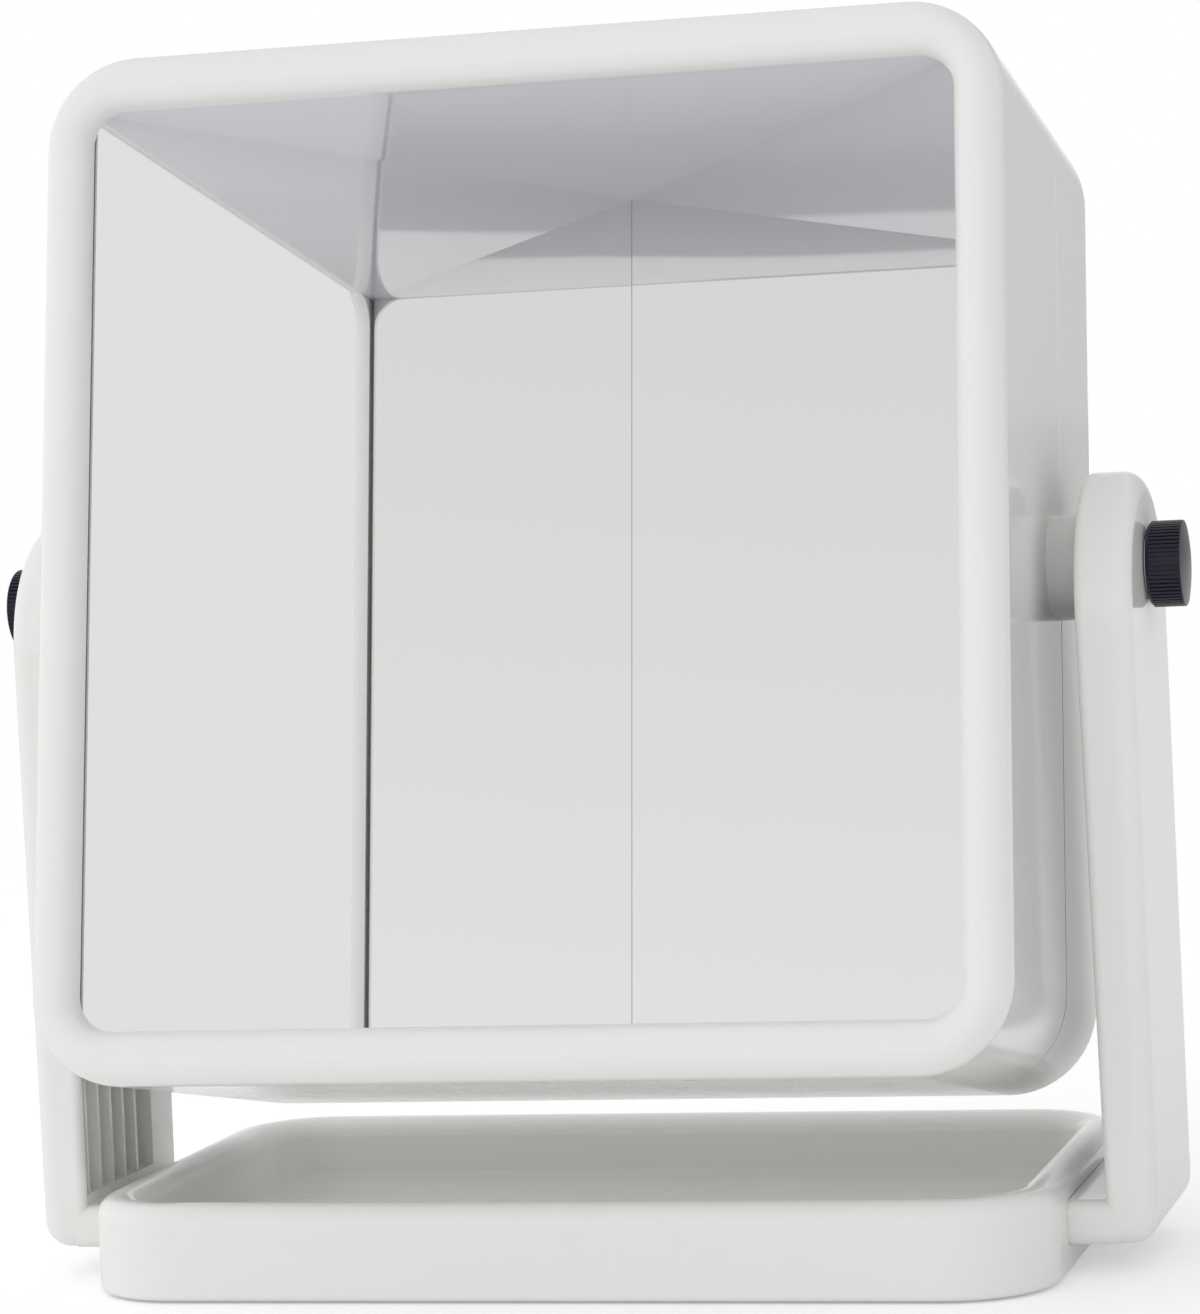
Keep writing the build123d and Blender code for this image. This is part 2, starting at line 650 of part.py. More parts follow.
# Tray: a basin with a full-round rim, hollow underneath, and a socket in each side for a foot
tray_width = 2 * tray_x
basin_width = tray_width - 2 * tray_wall
basin_depth = tray_depth - 2 * tray_wall
basin_corner = tray_corner - tray_wall
basin_top = Plane(origin=(0, tray_y, tray_top), x_dir=(1, 0, 0), z_dir=(0, 0, -1))
with BuildPart() as tray:
    with BuildSketch(tray_level(tray_bottom)):
        RectangleRounded(tray_width, tray_depth, tray_corner)
    extrude(amount=tray_height)
    with BuildSketch(basin_top):
        RectangleRounded(basin_width, basin_depth, basin_corner)
    extrude(amount=tray_height - tray_floor_height, taper=basin_draft, mode=Mode.SUBTRACT)
    levels = tray.faces().filter_by(Axis.Z).sort_by(Axis.Z)
    fillet(levels[1].edges(), tray_floor_round)
    levels = tray.faces().filter_by(Axis.Z).sort_by(Axis.Z)
    fillet(levels[-1].edges(), tray_rim_round)
    fillet(tray.faces().sort_by(Axis.Z)[0].edges(), tray_skirt_round)
    hollow_width = tray_width - 2 * tray_skin
    hollow_depth = tray_depth - 2 * tray_skin
    with BuildSketch(tray_level(tray_bottom)):
        RectangleRounded(hollow_width, hollow_depth, tray_corner - tray_skin)
    extrude(amount=tray_floor_bottom - tray_bottom, mode=Mode.SUBTRACT)
    with BuildSketch(tray_level(tray_floor_bottom)):
        RectangleRounded(hollow_width, hollow_depth, tray_corner - tray_skin)
        RectangleRounded(
            basin_width + 2 * tray_skin, basin_depth + 2 * tray_skin, basin_corner + tray_skin,
            mode=Mode.SUBTRACT,
        )
        with Locations((0, -tray_pivot_setback)):
            Rectangle(tray_width, arm_depth + 2 * socket_block_margin, mode=Mode.SUBTRACT)
    extrude(amount=tray_top - tray_rim_round - tray_floor_bottom, mode=Mode.SUBTRACT)
    for side in (-1, 1):
        with BuildSketch(across_arm(side * (foot_end - socket_clearance))):
            with Locations((pivot_y, arm_bottom + foot_height / 2)):
                RectangleRounded(
                    arm_depth + 2 * socket_clearance, foot_height + 2 * socket_clearance,
                    foot_round + socket_clearance,
                )
        extrude(amount=side * (foot_tenon + socket_clearance), mode=Mode.SUBTRACT)
        with BuildSketch(Plane.XY.offset(tray_floor_bottom)):
            with Locations((side * foot_screw_x, pivot_y)):
                with GridLocations(1, foot_screw_spacing, 1, 2):
                    Circle(large_screw_radius + screw_pass_clearance)
        extrude(amount=arm_bottom - tray_floor_bottom, mode=Mode.SUBTRACT)
        with BuildSketch(Plane.XY.offset(tray_floor_bottom)):
            with Locations((side * foot_screw_x, pivot_y)):
                with GridLocations(1, foot_screw_spacing, 1, 2):
                    Circle(large_screw_head_radius + screw_pass_clearance)
        extrude(amount=large_screw_head, mode=Mode.SUBTRACT)

with BuildPart() as foot_screws:
    for side in (-1, 1):
        with BuildSketch(Plane.XY.offset(tray_floor_bottom)):
            with Locations((side * foot_screw_x, pivot_y)):
                with GridLocations(1, foot_screw_spacing, 1, 2):
                    Circle(large_screw_head_radius)
        extrude(amount=large_screw_head)
        with BuildSketch(Plane.XY.offset(tray_floor_bottom)):
            with Locations((side * foot_screw_x, pivot_y)):
                with GridLocations(1, foot_screw_spacing, 1, 2):
                    Circle(large_screw_radius)
        extrude(amount=arm_bottom + foot_screw_engagement - tray_floor_bottom)

with BuildPart() as tray_feet:
    with BuildSketch(tray_level(0)):
        with GridLocations(tray_width - 2 * pad_inset_x, tray_depth - 2 * pad_inset_y, 2, 2):
            Circle(pad_radius)
    extrude(amount=tray_floor_bottom)

for piece, name in (
    (front_housing, "front_housing"),
    (rear_cover, "rear_cover"),
    (top_panel, "top_panel"),
    (bottom_panel, "bottom_panel"),
    (mirror_holder, "mirror_holder"),
    (panel_screws, "panel_screws"),
    (holder_screws, "holder_screws"),
    (cover_screws, "cover_screws"),
    (tray, "tray"),
    (foot_screws, "foot_screws"),
    (tray_feet, "tray_feet"),
):
    save(piece, name)

for piece, name in (
    (right_mirror, "mirror"),
    (right_mirror_tape, "mirror_tape"),
    (right_insert, "insert"),
    (right_pivot_washer, "pivot_washer"),
    (right_knob_washer, "knob_washer"),
    (right_stud, "stud"),
    (right_knob, "knob"),
    (right_arm, "arm"),
):
    save(piece, f"right_{name}")
    save(twin(piece), f"left_{name}")
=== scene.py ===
"""Finishes, fine fittings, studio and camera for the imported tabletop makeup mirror.

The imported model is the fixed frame. Each sub-assembly is a class that dresses its own nodes and
models the detail that the solids leave out. Sizes are in metres, in the model's frame.
"""

from __future__ import annotations

import json
import logging
import math
from dataclasses import dataclass
from enum import Enum
from typing import Callable

import bmesh
import bpy
from mathutils import Matrix, Vector

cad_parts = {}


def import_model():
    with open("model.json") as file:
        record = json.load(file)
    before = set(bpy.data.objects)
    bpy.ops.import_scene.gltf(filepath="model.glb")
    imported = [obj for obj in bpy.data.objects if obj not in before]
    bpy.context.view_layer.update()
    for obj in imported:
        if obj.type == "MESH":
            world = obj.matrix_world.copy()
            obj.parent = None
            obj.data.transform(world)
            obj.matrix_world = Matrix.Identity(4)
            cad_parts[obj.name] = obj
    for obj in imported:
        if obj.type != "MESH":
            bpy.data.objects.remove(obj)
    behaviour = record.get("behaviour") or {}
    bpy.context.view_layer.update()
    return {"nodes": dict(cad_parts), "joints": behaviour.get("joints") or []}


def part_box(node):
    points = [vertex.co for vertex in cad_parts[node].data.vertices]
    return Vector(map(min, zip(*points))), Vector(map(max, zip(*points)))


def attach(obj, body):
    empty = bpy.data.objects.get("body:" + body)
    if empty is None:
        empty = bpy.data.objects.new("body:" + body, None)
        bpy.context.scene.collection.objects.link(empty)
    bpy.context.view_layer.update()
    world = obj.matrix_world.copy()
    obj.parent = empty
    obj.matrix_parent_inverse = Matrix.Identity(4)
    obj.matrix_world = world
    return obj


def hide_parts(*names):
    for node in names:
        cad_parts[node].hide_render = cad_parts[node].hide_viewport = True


LOG = logging.getLogger("makeup_mirror")

Colour = tuple[float, float, float]
Direction = tuple[float, float, float]
Span = tuple[float, float]
Socket = bpy.types.NodeSocket
Feed = Socket | float | tuple[float, ...]

MM = 0.001
PHOTO_WIDTH = 1200
PHOTO_HEIGHT = 1314
HOUSING_TILT = math.radians(11.0)
HOUSING_BACK = (0.0, math.cos(HOUSING_TILT), -math.sin(HOUSING_TILT))
HOUSING_UP = (0.0, math.sin(HOUSING_TILT), math.cos(HOUSING_TILT))
ACROSS = (1.0, 0.0, 0.0)
# A unit direction's part along another, above which it counts as looking that way.
TOWARDS = 0.5


class Side(Enum):
    """The two ends of the pivot axis."""

    LEFT = -1
    RIGHT = 1

    @property
    def word(self) -> str:
        """The side's name as the nodes spell it."""
        return self.name.lower()


class Blend(Enum):
    """What a mix blends: its data type, and the places of its first input and its output."""

    NUMBERS = ("FLOAT", 2, 0)
    COLOURS = ("RGBA", 6, 2)


class Wiring:
    """Adds nodes to one tree, each joined to what feeds it."""

    def __init__(self, tree: bpy.types.NodeTree) -> None:
        """Take a tree.

        Args:
            tree: The tree that the nodes go into.
        """
        self.tree = tree

    def feed(self, socket: Socket, feed: Feed) -> None:
        """Join an input to an output, or give it a value of its own.

        Args:
            socket: The input.
            feed: The output or the value.
        """
        if isinstance(feed, Socket):
            self.tree.links.new(feed, socket)
        else:
            socket.default_value = feed

    def add(self, kind: str, *feeds: Feed, **settings: str) -> bpy.types.Node:
        """Add a node, set it and feed its first inputs.

        Args:
            kind: The node's type.
            *feeds: An output or a value for each of those inputs.
            **settings: The node's own settings by name.

        Returns:
            The node.
        """
        node = self.tree.nodes.new(kind)
        for name, setting in settings.items():
            setattr(node, name, setting)
        for socket, feed in zip(node.inputs, feeds):
            self.feed(socket, feed)
        return node

    def maths(self, operation: str, *feeds: Feed) -> Socket:
        """Work out a number from one to three others.

        Args:
            operation: The Math node's operation.
            *feeds: What it works on.

        Returns:
            The result.
        """
        return self.add("ShaderNodeMath", *feeds, operation=operation).outputs[0]

    def along(self, place: Socket, direction: Direction) -> Socket:
        """Measure how far a place lies along a direction.

        Args:
            place: The place.
            direction: The direction.

        Returns:
            The distance.
        """
        node = self.add("ShaderNodeVectorMath", place, direction, operation="DOT_PRODUCT")
        return node.outputs["Value"]

    def ranged(self, value: Feed, span: Span, levels: Span, smooth: bool = False) -> Socket:
        """Carry a value over from one span to another, held at both ends.

        Args:
            value: The value.
            span: Where it starts and stops to count.
            levels: The levels there.
            smooth: Whether the levels ease in and out.

        Returns:
            The level.
        """
        curve = "SMOOTHSTEP" if smooth else "LINEAR"
        node = self.add("ShaderNodeMapRange", value, *span, *levels, interpolation_type=curve)
        return node.outputs[0]

    def mixed(self, kind: Blend, share: Feed, first: Feed, second: Feed) -> Socket:
        """Blend two numbers or two colours.

        Args:
            kind: What is blended.
            share: The second one's share.
            first: The first one.
            second: The second one.

        Returns:
            The blend.
        """
        data_type, start, end = kind.value
        node = self.add("ShaderNodeMix", data_type=data_type)
        for place, feed in ((0, share), (start, first), (start + 1, second)):
            self.feed(node.inputs[place], feed)
        return node.outputs[end]

    def bump(self, height: Socket, distance: float) -> Socket:
        """Turn a height into a normal.

        Args:
            height: The height.
            distance: How far a height of 1 rises, in metres.

        Returns:
            The normal.
        """
        node = self.add("ShaderNodeBump")
        self.feed(node.inputs["Distance"], distance)
        self.feed(node.inputs["Height"], height)
        return node.outputs["Normal"]

    def coordinates(self, kind: str) -> Socket:
        """One kind of texture coordinates."""
        return self.add("ShaderNodeTexCoord").outputs[kind]

    def rays(self, kind: str) -> Socket:
        """An output that is 1 for one kind of rays and 0 for the rest."""
        return self.add("ShaderNodeLightPath").outputs[kind]

    def glossy_rays(self) -> Socket:
        """An output that is 1 for rays off glossy or clear surfaces and 0 for the rest."""
        return self.maths("MAXIMUM", self.rays("Is Glossy Ray"), self.rays("Is Transmission Ray"))


def start_material(name: str) -> tuple[bpy.types.Material, Wiring, bpy.types.Node]:
    """Start a material.

    Args:
        name: The material's name.

    Returns:
        The material, its wiring and its surface shader.
    """
    made = bpy.data.materials.new(name)
    made.use_nodes = True
    return made, Wiring(made.node_tree), made.node_tree.nodes["Principled BSDF"]


class SurfaceGrain:
    """Shared node group: slow tone and sheen drift and a fine moulded skin, from one point.

    Attributes:
        NAME: The group's name.
        TONE_SCALE: Scale of the tone drift per metre.
        SHEEN_SCALE: Scale of the sheen drift per metre.
        SKIN_SCALE: Scale of the moulded skin per metre.
        DETAIL: Detail of the noise behind each output.
    """

    NAME = "surface_grain"
    TONE_SCALE = 14.0
    SHEEN_SCALE = 45.0
    SKIN_SCALE = 900.0
    DETAIL = {"Tone": 3.0, "Sheen": 4.0, "Height": 2.0}

    @classmethod
    def tree(cls) -> bpy.types.NodeTree:
        """Make the group once and hand the same one to every material.

        Returns:
            The node group, with outputs Tone, Sheen and Height between 0 and 1.
        """
        found = bpy.data.node_groups.get(cls.NAME)
        if found is not None:
            return found
        tree = bpy.data.node_groups.new(cls.NAME, "ShaderNodeTree")
        face = tree.interface
        face.new_socket("Vector", in_out="INPUT", socket_type="NodeSocketVector")
        face.new_socket("Fine", in_out="INPUT", socket_type="NodeSocketFloat")
        for name in cls.DETAIL:
            face.new_socket(name, in_out="OUTPUT", socket_type="NodeSocketFloat")
        nodes = Wiring(tree)
        start = nodes.add("NodeGroupInput")
        end = nodes.add("NodeGroupOutput")
        skin_scale = nodes.maths("MULTIPLY", start.outputs["Fine"], cls.SKIN_SCALE)
        scales = {"Tone": cls.TONE_SCALE, "Sheen": cls.SHEEN_SCALE, "Height": skin_scale}
        for name, detail in cls.DETAIL.items():
            noise = nodes.add("ShaderNodeTexNoise")
            nodes.feed(noise.inputs["Vector"], start.outputs["Vector"])
            nodes.feed(noise.inputs["Scale"], scales[name])
            nodes.feed(noise.inputs["Detail"], detail)
            nodes.feed(end.inputs[name], noise.outputs["Fac"])
        return tree

    @classmethod
    def place_in(cls, nodes: Wiring, fine: float = 1.0) -> bpy.types.Node:
        """Place the group in a material.

        Args:
            nodes: The material's wiring.
            fine: How many times finer the skin is than on the housing.

        Returns:
            The group's node.
        """
        grain = nodes.add("ShaderNodeGroup")
        grain.node_tree = cls.tree()
        nodes.feed(grain.inputs["Vector"], nodes.coordinates("Object"))
        nodes.feed(grain.inputs["Fine"], fine)
        return grain


@dataclass(frozen=True)
class Finish:
    """A finish that keeps one colour, with the drift and skin of the real surface.

    Attributes:
        name: The material's name.
        colour: The linear colour in its lighter places.
        shade: How much darker the darkest places are, as a share.
        gloss: Roughness in the smoothest places.
        matt: Roughness in the dullest places.
        metal: Whether the surface is a metal.
        skin: Height of the fine moulded skin in metres.
        fine: How many times finer the skin is than on the housing.
        sheen_level: The specular level of the surface.
    """

    name: str
    colour: Colour
    shade: float = 0.03
    gloss: float = 0.1
    matt: float = 0.16
    metal: bool = False
    skin: float = 0.01 * MM
    fine: float = 1.0
    sheen_level: float = 0.5

    def material(self) -> bpy.types.Material:
        """Build the material once.

        Returns:
            The material with this finish's name.
        """
        found = bpy.data.materials.get(self.name)
        if found is not None:
            return found
        made, nodes, surface = start_material(self.name)
        grain = SurfaceGrain.place_in(nodes, self.fine)
        dark = (*(part * (1.0 - self.shade) for part in self.colour), 1.0)
        tone = nodes.mixed(Blend.COLOURS, grain.outputs["Tone"], dark, (*self.colour, 1.0))
        sheen = nodes.ranged(grain.outputs["Sheen"], (0.0, 1.0), (self.gloss, self.matt))
        nodes.feed(surface.inputs["Base Color"], tone)
        nodes.feed(surface.inputs["Roughness"], sheen)
        nodes.feed(surface.inputs["Normal"], self.relief(nodes, grain))
        nodes.feed(surface.inputs["Metallic"], float(self.metal))
        nodes.feed(surface.inputs["Specular IOR Level"], self.sheen_level)
        return made

    def relief(self, nodes: Wiring, grain: bpy.types.Node) -> Socket:
        """Lift the fine skin out of the surface.

        Args:
            nodes: The material's wiring.
            grain: The grain group in it.

        Returns:
            The surface's normal.
        """
        return nodes.bump(grain.outputs["Height"], self.skin)


@dataclass(frozen=True)
class SaggedPanel(Finish):
    """A finish whose normals follow the slight sag of a thin panel, as its reflections show.

    Attributes:
        pivot: Height and fore-and-aft place of the pivot axis in the model's frame.
        sag_across: Steepest slope and reach of the sag from side to side.
        sag_along: Steepest slope and reach of the sag from front to back.
        lowest: Depth from the pivot at which the panel hangs lowest.
    """

    pivot: Span = (147.9622 * MM, 1.0902 * MM)
    sag_across: Span = (0.0435, 40.0 * MM)
    sag_along: Span = (0.035, 48.0 * MM)
    lowest: float = -28.0 * MM

    def relief(self, nodes: Wiring, grain: bpy.types.Node) -> Socket:
        """Bend the surface by its sag.

        Args:
            nodes: The material's wiring.
            grain: The grain group in it, which a polished panel has no use for here.

        Returns:
            The surface's normal.
        """
        place = nodes.coordinates("Object")
        height, depth = self.pivot
        middle = depth * HOUSING_BACK[1] + height * HOUSING_BACK[2] + self.lowest
        across = self.sag(nodes, nodes.along(place, ACROSS), 0.0, self.sag_across)
        along = self.sag(nodes, nodes.along(place, HOUSING_BACK), middle, self.sag_along)
        return nodes.bump(nodes.maths("ADD", across, along), 1.0)

    @staticmethod
    def sag(nodes: Wiring, place: Socket, middle: float, shape: Span) -> Socket:
        """Height of the panel over one direction: round at its lowest line, straight far off.

        Args:
            nodes: The material's wiring.
            place: The distance along the direction.
            middle: Where along it the panel hangs lowest.
            shape: Steepest slope and reach.

        Returns:
            The height towards the panel's own side, in metres.
        """
        slope, reach = shape
        square = nodes.maths("POWER", nodes.maths("SUBTRACT", place, middle), 2.0)
        run = nodes.maths("SQRT", nodes.maths("ADD", square, reach**2))
        return nodes.maths("MULTIPLY", run, -slope)


@dataclass(frozen=True)
class SilveredGlass:
    """Mirror glass: silver on the face that reflects, and grey-green on its edges and its back.

    Attributes:
        name: The material's name.
        facing: The direction that the reflecting face looks in, in the model's frame.
        silver: Linear colour of the reflecting face.
        edge: Linear colour of the edges and the back.
        polish: Roughness where the glass is clearest.
        haze: Roughness where the glass is dullest.
        face_from: How squarely a surface must look that way to be silver.
    """

    name: str
    facing: Vector
    silver: Colour = (0.925, 0.93, 0.92)
    edge: Colour = (0.86, 0.90, 0.87)
    polish: float = 0.004
    haze: float = 0.02
    face_from: float = 0.9

    def material(self) -> bpy.types.Material:
        """Build the material.

        Returns:
            The material, whose face mask follows the mesh's own normals.
        """
        made, nodes, surface = start_material(self.name)
        grain = SurfaceGrain.place_in(nodes)
        squarely = nodes.along(nodes.coordinates("Normal"), self.facing)
        face = nodes.maths("GREATER_THAN", squarely, self.face_from)
        tone = nodes.mixed(Blend.COLOURS, face, (*self.edge, 1.0), (*self.silver, 1.0))
        sheen = nodes.ranged(grain.outputs["Sheen"], (0.0, 1.0), (self.polish, self.haze))
        nodes.feed(surface.inputs["Base Color"], tone)
        nodes.feed(surface.inputs["Metallic"], face)
        nodes.feed(surface.inputs["Roughness"], sheen)
        return made


class Finishes:
    """The finishes of the mirror's own pieces."""

    WHITE = Finish(
        "white_gloss_plastic", (0.92, 0.917, 0.902), shade=0.015, gloss=0.07, matt=0.11
    )
    CEILING = SaggedPanel(
        "pale_lavender_panel", (0.79, 0.785, 0.85), shade=0.02, gloss=0.02, matt=0.05
    )
    HOLDER = Finish("unpolished_holder_plastic", (0.62, 0.62, 0.60), gloss=0.45, matt=0.6)
    WASHER = Finish("nylon_washer", (0.78, 0.78, 0.76), gloss=0.3, matt=0.42)
    KNOB = Finish(
        "black_knob_plastic",
        (0.010, 0.0085, 0.026),
        shade=0.2,
        gloss=0.22,
        matt=0.34,
        sheen_level=0.38,
    )
    STEEL = Finish(
        "zinc_plated_steel", (0.60, 0.60, 0.62), shade=0.12, gloss=0.25, matt=0.42, metal=True
    )
    BRASS = Finish(
        "turned_brass", (0.72, 0.53, 0.25), shade=0.15, gloss=0.22, matt=0.36, metal=True
    )
    RUBBER = Finish(
        "grey_rubber", (0.05, 0.05, 0.05), shade=0.25, gloss=0.7, matt=0.85, skin=0.05 * MM
    )
    FOAM = Finish(
        "foam_tape", (0.7, 0.7, 0.68), shade=0.2, gloss=0.8, matt=0.95, skin=0.1 * MM, fine=2.0
    )


def select_only(piece: bpy.types.Object) -> None:
    """Select one object, make it the active one and deselect the rest.

    Args:
        piece: The object.
    """
    bpy.ops.object.select_all(action="DESELECT")
    piece.select_set(True)
    bpy.context.view_layer.objects.active = piece


def select_faces(piece: bpy.types.Object, wanted: Callable[[Vector, Vector], bool]) -> None:
    """Select the faces of the piece in edit mode that answer a test, and no others.

    Args:
        piece: The piece in edit mode.
        wanted: Test of a face's middle and normal.
    """
    shape = bmesh.from_edit_mesh(piece.data)
    for face in shape.faces:
        face.select_set(False)
    for face in shape.faces:
        if wanted(face.calc_center_median(), face.normal):
            face.select_set(True)
    shape.select_flush_mode()
    bmesh.update_edit_mesh(piece.data)


def narrow(share: float) -> None:
    """Draw what is selected in edit mode in towards the Z axis, to a share of its width."""
    bpy.ops.transform.resize(value=(share, share, 1.0), center_override=(0.0, 0.0, 0.0))


class Turning:
    """A round piece drawn out of a disc along Z, ring by ring, in edit mode.

    Attributes:
        CREST_FROM: Where a thread ridge's crest starts, as a share of the pitch.
        CREST_TO: Where the crest ends, as a share of the pitch.
        SMOOTH_BELOW: Angle under which neighbouring faces are shaded as one.
    """

    CREST_FROM = 0.45
    CREST_TO = 0.55
    SMOOTH_BELOW = math.radians(32.0)

    def __init__(self, name: str, radius: float, height: float, segments: int) -> None:
        """Lay the first disc.

        Args:
            name: The piece's name.
            radius: Radius of the disc.
            height: Its place on the axis.
            segments: Number of sides of every ring.
        """
        bpy.ops.object.select_all(action="DESELECT")
        bpy.ops.mesh.primitive_circle_add(
            vertices=segments, radius=radius, fill_type="NGON", location=(0.0, 0.0, height)
        )
        self.piece = bpy.context.active_object
        self.piece.name = name
        bpy.ops.object.transform_apply(location=True, rotation=True, scale=True)
        bpy.ops.object.mode_set(mode="EDIT")
        bpy.ops.mesh.select_mode(type="FACE")
        bpy.ops.mesh.select_all(action="SELECT")
        self.radius = radius
        self.height = height

    def draw(self, *rings: Span) -> Turning:
        """Draw the end of the piece on through the next rings.

        Args:
            *rings: Radius and place on the axis of each ring.

        Returns:
            The same turning.
        """
        for radius, height in rings:
            bpy.ops.mesh.extrude_region_move(
                TRANSFORM_OT_translate={"value": (0.0, 0.0, height - self.height)}
            )
            narrow(radius / self.radius)
            self.radius, self.height = radius, height
        return self

    def thread(self, crest: float, root: float, pitch: float, end: float) -> Turning:
        """Draw thread ridges up to a height, and end on the crest.

        Args:
            crest: Radius over the thread.
            root: Radius in the groove.
            pitch: Distance from ridge to ridge.
            end: Where the thread ends on the axis.

        Returns:
            The same turning.
        """
        turns = int((end - self.height) / pitch)
        for _ in range(turns):
            start = self.height
            self.draw(
                (crest, start + self.CREST_FROM * pitch),
                (crest, start + self.CREST_TO * pitch),
                (root, start + pitch),
            )
        return self.draw((crest, end))

    def finish(self) -> bpy.types.Object:
        """Turn the faces outwards and shade the piece.

        Returns:
            The finished object, on the Z axis.
        """
        bpy.ops.mesh.select_all(action="SELECT")
        bpy.ops.mesh.normals_make_consistent(inside=False)
        bpy.ops.object.mode_set(mode="OBJECT")
        bpy.ops.object.shade_smooth_by_angle(angle=self.SMOOTH_BELOW)
        return self.piece


def axis_frame(origin: Vector, along: Vector) -> Matrix:
    """A place whose Z axis points along a direction.

    Args:
        origin: The place's origin.
        along: The direction of its Z axis.

    Returns:
        The matrix of the place.
    """
    axis = along.normalized()
    across = Vector((0.0, 1.0, 0.0)) if abs(axis.y) < TOWARDS else Vector(ACROSS)
    first = across.cross(axis).normalized()
    second = axis.cross(first)
    place = Matrix((first, second, axis)).transposed().to_4x4()
    place.translation = origin
    return place


def set_in_place(model: bpy.types.Object, places: list[Matrix], name: str) -> bpy.types.Object:
    """Copy a model to each place, each copy with its own mesh, and join them as one piece.

    Args:
        model: The model on the Z axis at the origin. It becomes the first copy.
        places: Where the copies go.
        name: The joined piece's name.

    Returns:
        The piece, with its place in its mesh.
    """
    copies = [model]
    for _ in places[1:]:
        select_only(model)
        bpy.ops.object.duplicate(linked=False)
        copies.append(bpy.context.active_object)
    for copy, place in zip(copies, places):
        copy.matrix_world = place
    select_only(model)
    for copy in copies:
        copy.select_set(True)
    if len(copies) > 1:
        bpy.ops.object.join()
    bpy.ops.object.transform_apply(location=True, rotation=True, scale=True)
    model.name = name
    model.data.name = name
    return model


def dress(node: bpy.types.Object, finish: Finish | SilveredGlass) -> None:
    """Give a node or a modelled piece one finish over its whole surface.

    Args:
        node: The object.
        finish: The finish that it gets.
    """
    node.data.materials.clear()
    node.data.materials.append(finish.material())
    LOG.info("%s is in %s", node.name, finish.name)


def fit(
    piece: bpy.types.Object, finish: Finish | SilveredGlass, body: str, node: str
) -> None:
    """Dress a modelled piece and let it stand for its node.

    Args:
        piece: The piece in its place.
        finish: Its finish.
        body: The body that it rides on.
        node: The node that it stands for.
    """
    dress(piece, finish)
    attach(piece, body)
    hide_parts(node)
    LOG.info("%s modelled with %d faces", piece.name, len(piece.data.polygons))


@dataclass(frozen=True)
class CrossScrew:
    """A pan-head screw with a cross recess, its head's seat at the origin and its shank down -Z.

    Attributes:
        shank: Radius over the thread.
        head: Radius of the head.
        head_height: Height of the head.
        length: Length of the shank.
        pitch: Distance from ridge to ridge.
        sides: Number of sides of every ring.
        groove: Radius in the thread's groove, as a share of the shank's.
        tip: Radius at the tip and the length of its taper, as shares of the groove's radius.
        run_out: Where the thread ends under the head, as a share of the pitch.
        head_rings: Radius and height of each ring of the head, as shares of the head's.
        slot: Length, width and depth of the recess's cutter, as shares of the head's.
        slot_foot: Size of the recess at its foot, as a share of that at its top.
    """

    shank: float
    head: float
    head_height: float
    length: float
    pitch: float
    sides: int = 28
    groove: float = 0.78
    tip: Span = (0.35, 1.2)
    run_out: float = 0.25
    head_rings: tuple[Span, ...] = (
        (0.96, 0.0),
        (1.0, 0.06),
        (1.0, 0.42),
        (0.95, 0.66),
        (0.84, 0.86),
        (0.64, 0.97),
        (0.5, 1.0),
    )
    slot: tuple[float, float, float] = (1.15, 0.26, 1.3)
    slot_foot: float = 0.45

    def model(self) -> bpy.types.Object:
        """Model one screw.

        Returns:
            The screw at the origin.
        """
        root = self.groove * self.shank
        tip_radius, tip_length = (share * root for share in self.tip)
        screw = Turning("cross_screw", tip_radius, -self.length, self.sides)
        screw.draw((root, -self.length + tip_length))
        screw.thread(self.shank, root, self.pitch, -self.run_out * self.pitch)
        rings = ((wide * self.head, high * self.head_height) for wide, high in self.head_rings)
        screw.draw((self.shank, 0.0), *rings)
        piece = screw.finish()
        for turn in (0.0, 90.0):
            self.cut_slot(piece, math.radians(turn))
        return piece

    def cut_slot(self, piece: bpy.types.Object, turn: float) -> None:
        """Cut one arm of the cross recess, narrower at its foot.

        Args:
            piece: The screw.
            turn: The arm's direction about the axis.
        """
        length, width, depth = self.slot
        bpy.ops.object.select_all(action="DESELECT")
        bpy.ops.mesh.primitive_cube_add(
            size=1.0,
            location=(0.0, 0.0, self.head_height),
            rotation=(0.0, 0.0, turn),
            scale=(length * self.head, width * self.head, depth * self.head_height),
        )
        cutter = bpy.context.active_object
        bpy.ops.object.transform_apply(location=True, rotation=True, scale=True)
        bpy.ops.object.mode_set(mode="EDIT")
        bpy.ops.mesh.select_mode(type="FACE")
        select_faces(cutter, lambda middle, normal: normal.z < -TOWARDS)
        narrow(self.slot_foot)
        bpy.ops.object.mode_set(mode="OBJECT")
        select_only(piece)
        cut = piece.modifiers.new("cross_recess", "BOOLEAN")
        cut.object = cutter
        cut.operation = "DIFFERENCE"
        bpy.ops.object.modifier_apply(modifier=cut.name)
        bpy.data.objects.remove(cutter, do_unlink=True)


@dataclass(frozen=True)
class HousingFrame:
    """The housing's own directions from its pivot: across, depth to the back, and height.

    Attributes:
        pivot: Middle of the pivot axis.
        back: Direction to the housing's back.
        up: Direction to the housing's top.
    """

    pivot: Vector
    back: Vector = Vector(HOUSING_BACK)
    up: Vector = Vector(HOUSING_UP)

    def point(self, across: float, depth: float, height: float) -> Vector:
        """A point from its distances across, back and up from the pivot."""
        return self.pivot + Vector((across, 0.0, 0.0)) + self.back * depth + self.up * height


